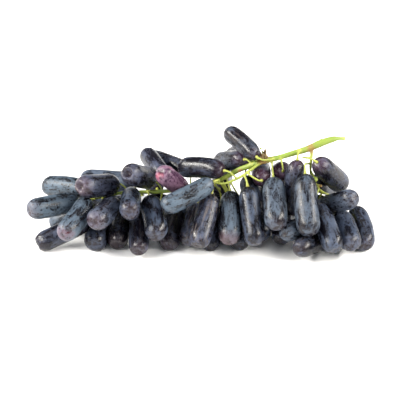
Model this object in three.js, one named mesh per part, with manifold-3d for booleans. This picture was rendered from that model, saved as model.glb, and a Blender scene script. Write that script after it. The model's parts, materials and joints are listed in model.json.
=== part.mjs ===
// A bunch of long black table grapes, cut with its stalk and lying on its side. Sizes are millimetres.
// +X runs along the bunch towards the cut end of the stalk, +Y from the front to the back, +Z up.
// The origin is on the table under the middle of the bunch.
//
// The stalk and its side branches grew as one piece. Each berry is a piece of its own, held at its
// stem end by a short pedicel that spreads into a small round seat.

import * as THREE from 'three';
import { mergeVertices } from 'three/addons/utils/BufferGeometryUtils.js';
import Module from 'manifold-3d';

const wasm = await Module();
wasm.setup();

// The bunch is measured as an eye sees it from the front, 28 degrees above the table.
const EYE_ABOVE_TABLE = THREE.MathUtils.degToRad(28);

// A berry's shape: how many radii its round ends take up, how round they are, and how much slimmer its
// stem half is than its fullest place.
const BERRY_SIDES = 12;
const BERRY_RINGS = 8;
const STEM_CAP = 1.6;
const TIP_CAP = 1.35;
const CAP_POWER = 2.2;
const NECK = 0.93;
const FULLEST_AT = 0.62;

// The pedicels, and the faces and stations of the branches.
const PEDICEL_RADIUS = 0.95;
const SEAT_RADIUS = 1.9;
const ROOT_RADIUS = 1.5;
const ROOT_SHARE = 0.3;
const SEAT_LENGTH = 1.6;
const PEDICEL_SIDES = 5;
const BRANCH_SIDES = 7;
const BRANCH_STEP = 6;

// How a pedicel finds its root. A root costs its distance, more when it lies less than REACH out of the
// berry's stem end, and most when the way to it runs through a berry.
const REACH = 5;
const BESIDE = 2;
const THROUGH = 8;
const SWINGS = [0.4, 0.7, 0.2];
const TRIED_SWINGS = [2, 14];
const FARTHEST_ROOT = 60;
const KNEE = 16;
const TRIES = 1500;

// Room between pieces, and how far the weight of the bunch flattens the berries that it stands on.
const GAP = 0.5;
const SEAT_GAP = 0.35;
const FLATTENED = 0.45;

const DARK = { color: 0x2f2d38, roughness: 0.42 };
const DUSTY = { color: 0x67727f, roughness: 0.62 };
const RED = { color: 0xa05c6c, roughness: 0.5 };
const GREEN = { color: 0xa9b84a, roughness: 0.6 };

// The berries that show from the front. Each row holds the stem end and the tip as the eye sees them,
// across from the middle and up, then how far back the berry's middle lies, whether its tip leans to the
// front (-1) or the back (1), its length, its radius, how far it bows to the left of the way from stem to
// tip, and its skin.
const SEEN_BERRIES = [
  [-76.3, 25.2, -110.9, 31.5, 6, 1, 40, 7.5, -1.2, DUSTY],
  [-84, 18.9, -119.7, 14.7, -15, -1, 41, 7.6, 0.6, DUSTY],
  [-75.9, 5.6, -113.4, -10.1, -22, -1, 41, 7.4, 0, DARK],
  [-69.3, 11.9, -105, 4.2, -2, 1, 40, 7.2, 0, DUSTY],
  [-76.3, 22, -95.9, -5.6, -30, -1, 42, 7.8, 1.4, DUSTY],
  [-48.3, 23.8, -84.7, 28.7, 24, 1, 41, 7.3, 0, DUSTY],
  [-55.3, 32.2, -86.8, 29.4, -8, -1, 42, 8, 0.6, DARK],
  [-57.4, 23.8, -76.3, 2.1, -27, -1, 42, 7.9, 0.8, DUSTY],
  [-75.6, 16.1, -72.4, -13.6, -20, -1, 40, 7.3, 0, DARK],
  [-51.1, 16.8, -60.9, -12.2, -16, -1, 40, 7.7, 0, DARK],
  [-29.7, 34.3, -54.9, 40.6, -6, -1, 41, 7.8, 0, DARK],
  [-47.6, 30.8, -49, 7, -24, -1, 42, 7.4, 0, DARK],
  [-43.4, 14.7, -42.3, -17.5, -28, -1, 40, 7, 0, DARK],
  [-36.4, 24.5, -29, -7.3, -26, -1, 41, 7.9, 0.8, DARK],
  [-16.8, 17.5, -18.9, -13.3, -17, -1, 40, 7.2, 0, DARK],
  [-23.8, 35.7, -39.9, 56.7, 20, 1, 38, 6.7, 0, DARK],
  [-7, 41.3, -37.8, 51.4, 33, 1, 40, 7, 0, DARK],
  [-8.4, 25.9, -29.7, 42.7, -14, -1, 38, 6.7, 0, RED],
  [18.2, 41.3, -15.7, 43.8, 3, 1, 40, 7.2, -1.2, DARK],
  [9.4, 33.6, -26.6, 15.4, -27, -1, 41, 7.1, 0.6, DUSTY],
  [0.7, 18.9, -11.9, -10.5, -14, -1, 40, 7, 0, DARK],
  [9.1, 25.2, -2.8, -12.6, -28, -1, 42, 7.4, 0, DARK],
  [14, 17.5, 4.2, -12.6, -17, -1, 40, 7, 0, DARK],
  [21, 28.7, 19.6, -9.8, -25, -1, 42, 8, 0, DUSTY],
  [33.2, 30.1, 38.5, -10.5, -27, -1, 43, 7.6, 0, DARK],
  [50.4, 38.1, 53.2, -0.7, -22, -1, 42, 8.2, 0, DUSTY],
  [46.2, 21, 48.3, -7.3, -8, -1, 40, 7.3, 0, DARK],
  [28.7, 16.8, 27.3, -13.3, -17, -1, 40, 7.2, 0, DARK],
  [56, 18.9, 51.8, -7, -12, -1, 40, 7, 0, DARK],
  [84, 7, 53.2, -3.5, -20, -1, 40, 7.2, 0, DUSTY],
  [95.9, 0, 65.1, -11.2, -36, -1, 40, 7.2, 0, DARK],
  [71.8, 38.8, 75.9, -5.6, -25, -1, 45, 8.4, -0.8, DUSTY],
  [69.3, 46.9, 64.4, 12.6, 2, 1, 41, 7.3, -1, DARK],
  [48.3, 40.6, 62.3, 39.9, 14, 1, 40, 7.3, 0, RED],
  [49, 43.4, 33.6, 32.9, 9, 1, 38, 7, 0, DARK],
  [39.2, 41.3, 35.7, 15.4, 1, -1, 40, 7.3, 0, DARK],
  [36.4, 46.9, 10.5, 48.3, 20, 1, 40, 7, 0, DUSTY],
  [39.2, 49.7, 17.5, 53.2, 34, 1, 39, 7, 0, DUSTY],
  [40.6, 49.7, 17.8, 70.7, 8, 1, 39, 6.6, -0.8, DUSTY],
  [78.4, 49, 102.9, 29.4, 1, 1, 41, 7.9, 0, DARK],
  [81.2, 21.7, 109.2, 18.2, -14, -1, 40, 7, 0, DUSTY],
  [84.7, 19.6, 91, -16.4, -28, -1, 41, 7.4, 0.4, DARK],
  [96.6, 14.7, 102.9, -14, -22, -1, 40, 7.8, 0, DARK],
  [105.7, 18.9, 112.7, -15.4, -16, -1, 41, 6.9, 2, DARK],
  [76.3, 35, 96.6, 23.8, 16, 1, 39, 7, 0, DARK],
];

// The berries out of sight from the front. Some lie along the rachis, just under it, and the others fan out
// at the back, by turns on the table and above it.
const UNDER_BERRIES = { count: 5, from: -40, to: 96, y: 8, z: 18, turn: THREE.MathUtils.degToRad(14) };
const BACK_BERRIES = {
  count: 6,
  from: -58,
  to: 62,
  y: 14,
  z: [17, 24],
  droop: [THREE.MathUtils.degToRad(24), THREE.MathUtils.degToRad(8)],
  fan: THREE.MathUtils.degToRad(24),
};
const HIDDEN_LENGTH = 38;
const HIDDEN_RADIUS = 6.9;

// The branches, each through points chosen by hand: x, y, z and the radius there.
const BRANCHES = {
  stalk: [
    [101, 4, 70, 1.7], [95, 3, 70.6, 1.7], [90, 2, 69.8, 2.3], [84, 1, 68, 2.7], [77, 0, 65, 2.6],
    [63, -1, 60.5, 2], [52, -2, 57.5, 2.1], [44, -2, 56, 2.8],
  ],
  rachis: [
    [46, -2, 56.3, 2.5], [34, -1, 51, 2.3], [28, 0, 48, 2.2], [14, 0, 40, 2], [0, 0, 35, 1.8],
    [-22, 0, 31, 1.7], [-42, 0, 30, 1.6], [-58, 0, 29, 1.4], [-73, -2, 26, 1],
  ],
  front: [
    [45, -2, 56, 1.9], [40, -5, 54, 1.6], [35, -8, 51.5, 1.5], [30, -10, 48.5, 1.5], [24, -11, 45.5, 1.4],
    [16, -12, 43, 1.2], [10, -12, 44, 1],
  ],
  drop: [
    [77.5, 0, 65, 2], [77.5, -3, 60, 1.6], [77, -5, 55, 1.4], [77, -6, 49, 1.3], [79, -6, 42, 1.3],
    [83, -5, 35, 1.2], [90, -4, 30, 1.1], [99, -3, 26, 1],
  ],
  twig: [[77.3, -4, 58.5, 1.3], [74, -4, 59.3, 1.1], [71, -3, 58.6, 1]],
  back: [[45, -2, 56, 1.9], [43, 4, 53.5, 1.5], [39, 9, 50, 1.2], [34, 12, 46, 1]],
  stub: [[78, -6, 43, 1.1], [81, -8, 40.5, 0.8], [83.4, -9.5, 40.2, 0.9], [84.6, -10.4, 40.4, 1.2]],
};

// A berry that never grew: its place, its radius, and its stalk from the branch.
const SHOT_BERRY = { at: [80, -13, 47], radius: 1.9, from: [77.1, -6, 50], stalk: 0.6, sides: 10, rings: 7 };

// Seeded random numbers, so that every build is the same.
let state = 7;
function random() {
  state = (state + 0x6d2b79f5) | 0;
  let mixed = Math.imul(state ^ (state >>> 15), 1 | state);
  mixed = (mixed + Math.imul(mixed ^ (mixed >>> 7), 61 | mixed)) ^ mixed;
  return ((mixed ^ (mixed >>> 14)) >>> 0) / 2 ** 32;
}

const axisOf = (from, to) => new THREE.Vector3().subVectors(to, from).normalize();

// The place of a point that the eye sees so far across and up, and that lies so far back.
function placeOf(across, up, depth) {
  const z = (up - depth * Math.sin(EYE_ABOVE_TABLE)) / Math.cos(EYE_ABOVE_TABLE);
  return new THREE.Vector3(across, depth, z);
}

// The way in which the eye looks, and the picture's own upward way.
const AWAY = new THREE.Vector3(0, Math.cos(EYE_ABOVE_TABLE), -Math.sin(EYE_ABOVE_TABLE));
const UPWARD = new THREE.Vector3(0, Math.sin(EYE_ABOVE_TABLE), Math.cos(EYE_ABOVE_TABLE));

// A berry from its row: its true length, less what shows of it, gives how far its tip leans.
function seenBerry([stemAcross, stemUp, tipAcross, tipUp, depth, lean, length, radius, bow, skin]) {
  const middle = placeOf((stemAcross + tipAcross) / 2, (stemUp + tipUp) / 2, depth);
  const across = tipAcross - stemAcross;
  const up = tipUp - stemUp;
  const shown = Math.hypot(across, up);
  const inPlane = Math.max(shown - 2 * radius, 0);
  const between = length - 2 * radius;
  const away = lean * Math.sqrt(Math.max(between ** 2 - inPlane ** 2, 0));
  const half = new THREE.Vector3((across / shown) * inPlane, 0, 0)
    .addScaledVector(UPWARD, (up / shown) * inPlane)
    .addScaledVector(AWAY, away)
    .setLength(between / 2);
  const side = new THREE.Vector3(-up / shown, 0, 0).addScaledVector(UPWARD, across / shown);
  return { stem: middle.clone().sub(half), tip: middle.clone().add(half), length, radius, bow, side, skin };
}

function hiddenBerry(stem, way) {
  const tip = stem.clone().addScaledVector(way, HIDDEN_LENGTH - 2 * HIDDEN_RADIUS);
  const side = new THREE.Vector3(way.y, -way.x, 0);
  return { stem, tip, length: HIDDEN_LENGTH, radius: HIDDEN_RADIUS, bow: 0, side, skin: DARK };
}

function underBerry(_, index) {
  const { count, from, to, y, z, turn } = UNDER_BERRIES;
  const x = THREE.MathUtils.lerp(from, to, index / (count - 1));
  return hiddenBerry(new THREE.Vector3(x, y, z), new THREE.Vector3(-Math.cos(turn), Math.sin(turn), 0));
}

function backBerry(_, index) {
  const { count, from, to, y, z, droop, fan } = BACK_BERRIES;
  const share = index / (count - 1);
  const turn = (2 * share - 1) * fan;
  const down = droop[index % 2];
  const flat = Math.cos(down);
  return hiddenBerry(
    new THREE.Vector3(THREE.MathUtils.lerp(from, to, share), y, z[index % 2]),
    new THREE.Vector3(Math.sin(turn) * flat, Math.cos(turn) * flat, -Math.sin(down)),
  );
}

// A branch as a curve, with a radius that runs through those of its points.
function branchOf(points) {
  const places = points.map(([x, y, z]) => new THREE.Vector3(x, y, z));
  const curve = new THREE.CatmullRomCurve3(places, false, 'centripetal');
  const radii = points.map((point) => point[3]);
  const radiusAt = (share) => {
    const place = share * (radii.length - 1);
    const index = Math.min(Math.floor(place), radii.length - 2);
    return THREE.MathUtils.lerp(radii[index], radii[index + 1], place - index);
  };
  return { curve, radiusAt };
}

const branches = Object.values(BRANCHES).map(branchOf);

// Balls along every branch, which the berries keep clear of and from which the pedicels grow.
const KNOT_EVERY = 3;
const branchBalls = branches.flatMap(({ curve, radiusAt }) => {
  const count = Math.ceil(curve.getLength() / KNOT_EVERY);
  return curve.getPoints(count).map((at, i) => ({ at, radius: radiusAt(i / count) }));
});

const obstacles = [...branchBalls, { at: new THREE.Vector3(...SHOT_BERRY.at), radius: SHOT_BERRY.radius }];

// The end of a berry's own surface at its stem, and at its tip.
function poles(berry) {
  const way = axisOf(berry.stem, berry.tip);
  return [
    berry.stem.clone().addScaledVector(way, -berry.radius),
    berry.tip.clone().addScaledVector(way, berry.radius),
  ];
}

// A pedicel leaves its knot by way of a knee and comes into the berry along the berry's own way.
function pedicelCurve(berry, { at, knee, swing } = berry.root) {
  const [pole] = poles(berry);
  const way = axisOf(berry.stem, berry.tip);
  const end = pole.addScaledVector(way, -SEAT_GAP);
  const approach = end.clone().addScaledVector(way, -swing);
  return new THREE.CubicBezierCurve3(at, at.clone().lerp(approach, 0.5).add(knee), approach, end);
}

const pedicelStations = ({ knee }) => (knee.length() > 0 ? [0, 0.2, 0.4, 0.6, 0.8, 1] : [0, 0.35, 0.7, 1]);

function pedicelBalls(berry, root = berry.root) {
  const curve = pedicelCurve(berry, root);
  const path = pedicelStations(root).map((station) => curve.getPoint(station));
  const balls = [];
  for (let i = 1; i < path.length; i += 1) {
    const count = Math.ceil(path[i - 1].distanceTo(path[i]) / KNOT_EVERY);
    for (let k = 1; k <= count; k += 1) {
      balls.push({ at: path[i - 1].clone().lerp(path[i], k / count), radius: PEDICEL_RADIUS });
    }
  }
  return balls.slice(0, -1);
}

// What a pedicel would cost: its way out of the berry's stem end, and how deep it runs through berries.
function costOf(root, berry, near, limit) {
  const [pole] = poles(berry);
  const there = new THREE.Vector3().subVectors(root.at, pole);
  const beside = Math.max(0, there.dot(axisOf(berry.stem, berry.tip)) + REACH);
  const long = there.length() + BESIDE * beside + root.knee.length();
  let through = 0;
  for (const ball of pedicelBalls(berry, root)) {
    if (long + through > limit) break;
    for (const other of near) {
      for (const q of other.balls) {
        through += THROUGH * Math.max(0, ball.radius + q.radius + SEAT_GAP - ball.at.distanceTo(q.at));
      }
    }
  }
  return { cost: long + through, through };
}

// The root of a berry's pedicel: a near knot that lies well out of the berry's stem end. When the plain way
// from there runs through a berry, ways with a knee are tried at random.
function rootOf(berry, berries, tries) {
  const near = berries.filter((other) => other.stem.distanceTo(berry.stem) < FARTHEST_ROOT + HIDDEN_LENGTH);
  const knots = branchBalls.filter(({ at }) => at.distanceTo(berry.stem) < FARTHEST_ROOT);
  let best = { cost: Infinity };
  const consider = (root) => {
    const found = costOf(root, berry, near, best.cost);
    if (found.cost < best.cost) best = { ...root, ...found };
  };
  if (berry.root) consider(berry.root);
  for (const { at } of knots) {
    const far = at.distanceTo(berry.stem);
    for (const share of SWINGS) consider({ at, knee: new THREE.Vector3(), swing: share * far });
  }
  for (let i = 0; i < tries && best.through > 0; i += 1) {
    const { at } = knots[Math.floor(random() * knots.length)];
    const knee = new THREE.Vector3(random() - 0.5, random() - 0.5, random() - 0.5).multiplyScalar(2 * KNEE);
    consider({ at, knee, swing: THREE.MathUtils.lerp(...TRIED_SWINGS, random()) });
  }
  return best;
}

// A berry's spine bows sideways; the bow's own direction stays square to the berry.
function spineOf(berry) {
  const [from, to] = poles(berry);
  const way = axisOf(from, to);
  const side = berry.side.clone().addScaledVector(way, -berry.side.dot(way)).normalize();
  const bend = from.clone().lerp(to, 0.5).addScaledVector(side, 2 * berry.bow);
  return new THREE.QuadraticBezierCurve3(from, bend, to);
}

// Settling. Berries and branches push each other apart like rows of balls, while each berry is drawn back
// to its place in the picture. At first a push goes along the eye's own way, in the order that the berries
// lie behind each other, so that it can't be seen; the last passes push freely until nothing touches.
const PASSES = 560;
const FREE_PASSES = 150;
const REROOT_EVERY = 30;
const DRAW = 0.15;
const DRAW_DEPTH = 0.01;
const SIDE_BY_SIDE = 0.9;
const STEP_LIMIT = 1.5;
const HOVER = 2.6;
const FALL = 0.08;
const PUSH = 0.4;
const BRANCH_PUSH = 0.5;
const END_BALL = 0.8;
const FULL_BALLS = 5;
const FULL_FROM = 1.45;
const FULL_TO = 1.35;

function placeBalls(berry) {
  const spine = spineOf(berry);
  const { radius, length } = berry;
  const insets = [END_BALL * radius];
  for (let i = 0; i < FULL_BALLS; i += 1) {
    insets.push(THREE.MathUtils.lerp(FULL_FROM * radius, length - FULL_TO * radius, i / (FULL_BALLS - 1)));
  }
  insets.push(length - END_BALL * radius);
  const between = length - 2 * radius;
  berry.balls = insets.map((inset, i) => ({
    share: THREE.MathUtils.clamp((inset - radius) / between, 0, 1),
    at: spine.getPoint(inset / length),
    radius: i === 0 || i > FULL_BALLS ? END_BALL * radius : radius,
  }));
}

function move(berry, share, way, amount) {
  const weight = (1 - share) ** 2 + share ** 2;
  berry.stem.addScaledVector(way, (amount * (1 - share)) / weight);
  berry.tip.addScaledVector(way, (amount * share) / weight);
}

// How far two balls are short of room, and the way that the first one must go: null when there is room.
function parting(first, second, order, free) {
  const room = first.radius + second.radius + GAP;
  const way = new THREE.Vector3().subVectors(first.at, second.at);
  const far = way.length();
  const depth = way.dot(AWAY);
  const across = Math.sqrt(Math.max(far ** 2 - depth ** 2, 0));
  if (across >= room) return null;
  if (free || across > SIDE_BY_SIDE * room) {
    return far < room ? { way: way.divideScalar(far), short: room - far } : null;
  }
  const short = Math.sqrt(room ** 2 - across ** 2) - order * depth;
  return short > 0 ? { way: AWAY.clone().multiplyScalar(order), short: Math.min(short, STEP_LIMIT) } : null;
}

// The worst of the conflicts between a berry's balls and some others, moved apart by a share of it.
function partFrom(berry, balls, free, give, other) {
  let worst = null;
  for (const p of berry.balls) {
    for (const q of balls) {
      const part = parting(p, q, Math.sign(p.depth - q.depth), free || q.depth === undefined);
      if (part && (!worst || part.short > worst.short)) worst = { ...part, p, q };
    }
  }
  if (!worst) return;
  move(berry, worst.p.share, worst.way, worst.short * give);
  if (other) move(other, worst.q.share, worst.way, -worst.short * give);
}

function keepLength(berry) {
  const excess = berry.stem.distanceTo(berry.tip) - (berry.length - 2 * berry.radius);
  const way = axisOf(berry.stem, berry.tip);
  berry.stem.addScaledVector(way, excess / 2);
  berry.tip.addScaledVector(way, -excess / 2);
}

function drawBack(berry) {
  for (const [end, home] of [[berry.stem, berry.home.stem], [berry.tip, berry.home.tip]]) {
    const off = new THREE.Vector3().subVectors(home, end);
    const depth = off.dot(AWAY);
    off.addScaledVector(AWAY, -depth).multiplyScalar(DRAW).addScaledVector(AWAY, depth * DRAW_DEPTH);
    end.add(off);
  }
}

// A berry that would sink into the table comes up, and towards the eye while its place is still kept. In
// the free passes, one that hangs just above the table comes down on it.
function keepAbove(berry, free) {
  const rest = berry.radius - FLATTENED;
  for (const end of [berry.stem, berry.tip]) {
    const sunk = rest - end.z;
    if (free && sunk > -HOVER) {
      end.z = Math.max(rest, end.z - FALL);
    } else if (sunk > 0) {
      end.addScaledVector(AWAY, -sunk);
      end.z += sunk / 4;
    }
  }
}

function settle(berries) {
  for (const berry of berries) {
    placeBalls(berry);
    berry.depths = berry.balls.map((ball) => ball.at.dot(AWAY));
  }
  for (const ball of obstacles) ball.depth = ball.at.dot(AWAY);
  for (let pass = 0; pass < PASSES; pass += 1) {
    const free = pass >= PASSES - FREE_PASSES;
    if (!free) berries.forEach(drawBack);
    for (const berry of berries) {
      placeBalls(berry);
      berry.balls.forEach((ball, i) => { ball.depth = berry.depths[i]; });
    }
    if (pass % REROOT_EVERY === 0) {
      for (const berry of berries) berry.root = rootOf(berry, berries, free ? TRIES : 0);
    }
    for (const berry of berries) berry.pedicelBalls = pedicelBalls(berry);
    berries.forEach((one, i) => {
      for (const other of berries.slice(i + 1)) {
        const near = one.stem.distanceTo(other.stem) < one.length + other.length;
        if (near) partFrom(one, other.balls, free, PUSH, other);
      }
      partFrom(one, obstacles, free, BRANCH_PUSH);
      for (const other of berries) {
        if (other !== one) partFrom(one, other.pedicelBalls, true, PUSH);
      }
    });
    for (const berry of berries) {
      keepAbove(berry, free);
      keepLength(berry);
    }
  }
}

// The berry's radius along its spine: round shoulders, a slim neck and a fuller lower half.
function berryRadius(berry, share) {
  const cap = (gone, whole) => (gone >= whole ? 1 : (1 - (1 - gone / whole) ** CAP_POWER) ** (1 / CAP_POWER));
  const stemCap = cap(share * berry.length, STEM_CAP * berry.radius);
  const tipCap = cap((1 - share) * berry.length, TIP_CAP * berry.radius);
  const swell = NECK + (1 - NECK) * Math.sin((Math.PI / 2) * Math.min(1, share / FULLEST_AT));
  return berry.radius * stemCap * tipCap * swell;
}

// Corners closer than this are one, and no ring starts with a side along this way.
const WELD = 1e-4;
const FIRST_SIDE = new THREE.Vector3(0.3, 0.5, 0.8);

// A closed body round a curve: a ring of corners at each station and a pole at each end.
function bodyRound(curve, stations, radiusAt, sides) {
  const corners = [curve.getPoint(0)];
  const side = FIRST_SIDE.clone();
  for (const station of stations) {
    const ahead = curve.getTangent(station);
    side.addScaledVector(ahead, -side.dot(ahead)).normalize();
    const up = new THREE.Vector3().crossVectors(ahead, side);
    const centre = curve.getPoint(station);
    const radius = radiusAt(station);
    for (let k = 0; k < sides; k += 1) {
      const turn = (2 * Math.PI * k) / sides;
      corners.push(
        centre.clone()
          .addScaledVector(side, radius * Math.cos(turn))
          .addScaledVector(up, radius * Math.sin(turn)),
      );
    }
  }
  corners.push(curve.getPoint(1));
  const faces = [];
  const last = corners.length - 1;
  const corner = (ring, k) => 1 + ring * sides + (k % sides);
  for (let k = 0; k < sides; k += 1) {
    faces.push(0, corner(0, k + 1), corner(0, k));
    faces.push(last, corner(stations.length - 1, k), corner(stations.length - 1, k + 1));
    for (let ring = 0; ring + 1 < stations.length; ring += 1) {
      faces.push(corner(ring, k), corner(ring, k + 1), corner(ring + 1, k));
      faces.push(corner(ring, k + 1), corner(ring + 1, k + 1), corner(ring + 1, k));
    }
  }
  const geometry = new THREE.BufferGeometry().setFromPoints(corners);
  geometry.setIndex(faces);
  return geometry;
}

function solidOf(geometry) {
  const bare = geometry.clone();
  for (const name of ['normal', 'uv']) bare.deleteAttribute(name);
  const merged = mergeVertices(bare, WELD);
  return new wasm.Manifold(
    new wasm.Mesh({
      numProp: 3,
      vertProperties: merged.attributes.position.array,
      triVerts: new Uint32Array(merged.index.array),
    }),
  );
}

function geometryOf(solid) {
  const { numProp, vertProperties, triVerts } = solid.getMesh();
  const points = [];
  for (let i = 0; i < vertProperties.length; i += numProp) {
    points.push(vertProperties[i], vertProperties[i + 1], vertProperties[i + 2]);
  }
  const geometry = new THREE.BufferGeometry();
  geometry.setAttribute('position', new THREE.Float32BufferAttribute(points, 3));
  geometry.setIndex(Array.from(triVerts));
  return geometry;
}

// The table as a slab, which takes the flat spots off the berries that bear the weight.
const SLAB = { width: 400, thickness: 20 };
const table = solidOf(
  new THREE.BoxGeometry(SLAB.width, SLAB.width, SLAB.thickness).translate(0, 0, -SLAB.thickness / 2),
);

function berrySolid(berry) {
  const stations = Array.from({ length: BERRY_RINGS }, (_, i) => (
    (1 - Math.cos((Math.PI * (i + 1)) / (BERRY_RINGS + 1))) / 2
  ));
  const radiusAt = (share) => berryRadius(berry, share);
  const whole = solidOf(bodyRound(spineOf(berry), stations, radiusAt, BERRY_SIDES));
  return whole.boundingBox().min[2] < 0 ? whole.subtract(table) : whole;
}

// A pedicel: a thick root on the branch, a slim middle and a seat that spreads under the berry.
function pedicelSolid(berry) {
  const curve = pedicelCurve(berry);
  const length = curve.getLength();
  const seatFrom = 1 - SEAT_LENGTH / length;
  const radiusAt = (share) => {
    const spread = (share - seatFrom) / (1 - seatFrom);
    if (spread >= 0) return THREE.MathUtils.lerp(PEDICEL_RADIUS, SEAT_RADIUS, spread);
    return THREE.MathUtils.lerp(ROOT_RADIUS, PEDICEL_RADIUS, Math.min(1, share / ROOT_SHARE));
  };
  const stations = [...pedicelStations(berry.root).filter((station) => station < seatFrom), seatFrom, 1];
  return solidOf(bodyRound(curve, stations, radiusAt, PEDICEL_SIDES));
}

function branchSolid({ curve, radiusAt }) {
  const steps = Math.max(4, Math.ceil(curve.getLength() / BRANCH_STEP));
  const stations = Array.from({ length: steps + 1 }, (_, i) => i / steps);
  return solidOf(bodyRound(curve, stations, radiusAt, BRANCH_SIDES));
}

function shotBerrySolid({ at, radius, from, stalk, sides, rings }) {
  const centre = new THREE.Vector3(...at);
  const ball = solidOf(new THREE.SphereGeometry(radius, sides, rings).translate(...at));
  const line = new THREE.LineCurve3(new THREE.Vector3(...from), centre);
  return ball.add(solidOf(bodyRound(line, [0, 1], () => stalk, PEDICEL_SIDES)));
}

// Everything that grew as one. A crumb that a join leaves behind, where two faces just miss, is dropped.
function stemSolid(berries) {
  const grown = [...branches.map(branchSolid), ...berries.map(pedicelSolid), shotBerrySolid(SHOT_BERRY)]
    .reduce((all, one) => all.add(one));
  return grown.decompose().reduce((most, one) => (one.volume() > most.volume() ? one : most));
}

function meshOf(name, solid, { color, roughness }) {
  const material = new THREE.MeshStandardMaterial({ color, roughness, metalness: 0 });
  const mesh = new THREE.Mesh(geometryOf(solid), material);
  mesh.name = name;
  return mesh;
}

const berries = [
  ...SEEN_BERRIES.map(seenBerry),
  ...Array.from({ length: UNDER_BERRIES.count }, underBerry),
  ...Array.from({ length: BACK_BERRIES.count }, backBerry),
];
for (const berry of berries) {
  berry.home = { stem: berry.stem.clone(), tip: berry.tip.clone() };
}
settle(berries);

const bunch = new THREE.Group();
bunch.add(meshOf('stem', stemSolid(berries), GREEN));
berries.forEach((berry, i) => {
  const name = `berry_${String(i + 1).padStart(2, '0')}`;
  bunch.add(meshOf(name, berrySolid(berry), berry.skin));
});

// The origin goes under the middle of the whole bunch.
const box = new THREE.Box3().setFromObject(bunch);
const middle = box.getCenter(new THREE.Vector3());
bunch.position.set(-middle.x, -middle.y, 0);

export default bunch;
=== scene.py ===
# %% [markdown]
# A bunch of long black table grapes lies on a table. Each grape hangs by a short stalk of its own, its
# pedicel, from a green stem that forks. A bunch could be sculpted by hand, but its berries share one form,
# so here one function makes them all and numbers tell them apart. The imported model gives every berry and
# the stem as a plain faceted solid. This script keeps their places and sizes, and makes their real
# surfaces: waxy skins with dimples and scars, and a green stem with swollen joints.
#
# The first step loads the model. Everything is in metres, with +Z up and the table at z = 0.

import json
import math

import bmesh
import bpy
import numpy as np
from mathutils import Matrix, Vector


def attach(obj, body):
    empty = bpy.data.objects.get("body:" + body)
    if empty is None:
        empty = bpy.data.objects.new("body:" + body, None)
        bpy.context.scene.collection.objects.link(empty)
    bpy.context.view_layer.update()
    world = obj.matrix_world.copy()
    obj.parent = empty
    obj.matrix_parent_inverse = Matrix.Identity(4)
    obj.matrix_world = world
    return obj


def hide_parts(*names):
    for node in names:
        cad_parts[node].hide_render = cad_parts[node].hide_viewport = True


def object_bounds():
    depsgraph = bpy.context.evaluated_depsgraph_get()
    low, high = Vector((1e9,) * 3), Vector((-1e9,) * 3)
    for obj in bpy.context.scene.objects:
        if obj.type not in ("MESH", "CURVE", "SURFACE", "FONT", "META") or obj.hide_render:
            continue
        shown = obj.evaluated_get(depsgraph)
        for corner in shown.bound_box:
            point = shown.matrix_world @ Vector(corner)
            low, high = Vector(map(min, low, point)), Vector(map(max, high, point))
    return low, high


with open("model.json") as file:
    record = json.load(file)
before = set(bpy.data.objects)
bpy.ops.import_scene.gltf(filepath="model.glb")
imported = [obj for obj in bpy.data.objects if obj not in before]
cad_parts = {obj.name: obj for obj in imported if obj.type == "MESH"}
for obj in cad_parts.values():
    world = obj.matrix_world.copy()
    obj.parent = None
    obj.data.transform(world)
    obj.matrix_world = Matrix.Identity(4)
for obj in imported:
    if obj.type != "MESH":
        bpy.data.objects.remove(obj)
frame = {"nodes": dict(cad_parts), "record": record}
MM = 0.001
cad_box = [[float(value) for value in corner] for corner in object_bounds()]
slot_of = {part["node"]: part["material_slot"] for part in frame["record"]["subparts"]}
berry_names = sorted(name for name in frame["nodes"] if name.startswith("berry_"))
print(len(berry_names), "berries in a box of", np.round(np.ptp(cad_box, axis=0) / MM), "mm")

# %% [markdown]
# A scan of the solids tells where each berry lies. Corners could be read one at a time, but foreach_get
# hands them over as one array, which is much faster. Corners that several triangles share are merged
# first, so that neighbours can be found by walking along edges. The bunch's measures are kept in
# millimetres from here on, and turned to metres where a mesh is made.

# %% Read a node's corners and edges
MERGE_WITHIN = 0.002


def corners_and_edges(name):
    """The merged corners of a solid in millimetres, one row each, and its edges as pairs of row numbers."""
    body = bmesh.new()
    body.from_mesh(frame["nodes"][name].data)
    bmesh.ops.remove_doubles(body, verts=body.verts, dist=MERGE_WITHIN * MM)
    merged = bpy.data.meshes.new("merged")
    body.to_mesh(merged)
    body.free()
    corners = np.empty(3 * len(merged.vertices), np.float32)
    edges = np.empty(2 * len(merged.edges), np.int32)
    merged.vertices.foreach_get("co", corners)
    merged.edges.foreach_get("vertices", edges)
    bpy.data.meshes.remove(merged)
    return corners.reshape(-1, 3).astype(float) / MM, edges.reshape(-1, 2)


stem_corners, stem_edges = corners_and_edges("stem")
print("stem:", len(stem_corners), "corners,", len(stem_edges), "edges")

# %% [markdown]
# A grape grows round a line from its pedicel to its tip. The longest direction of its corners gives that
# line, and the end nearer to the stem is where it hangs. Some berries are bent, so the middle of a berry
# may stand off the straight line. That offset is kept as the bow.

# %% Find every berry's line, bow and radius
def unit(vector):
    """The vector at length 1."""
    return vector / np.linalg.norm(vector, axis=-1, keepdims=True)


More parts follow.
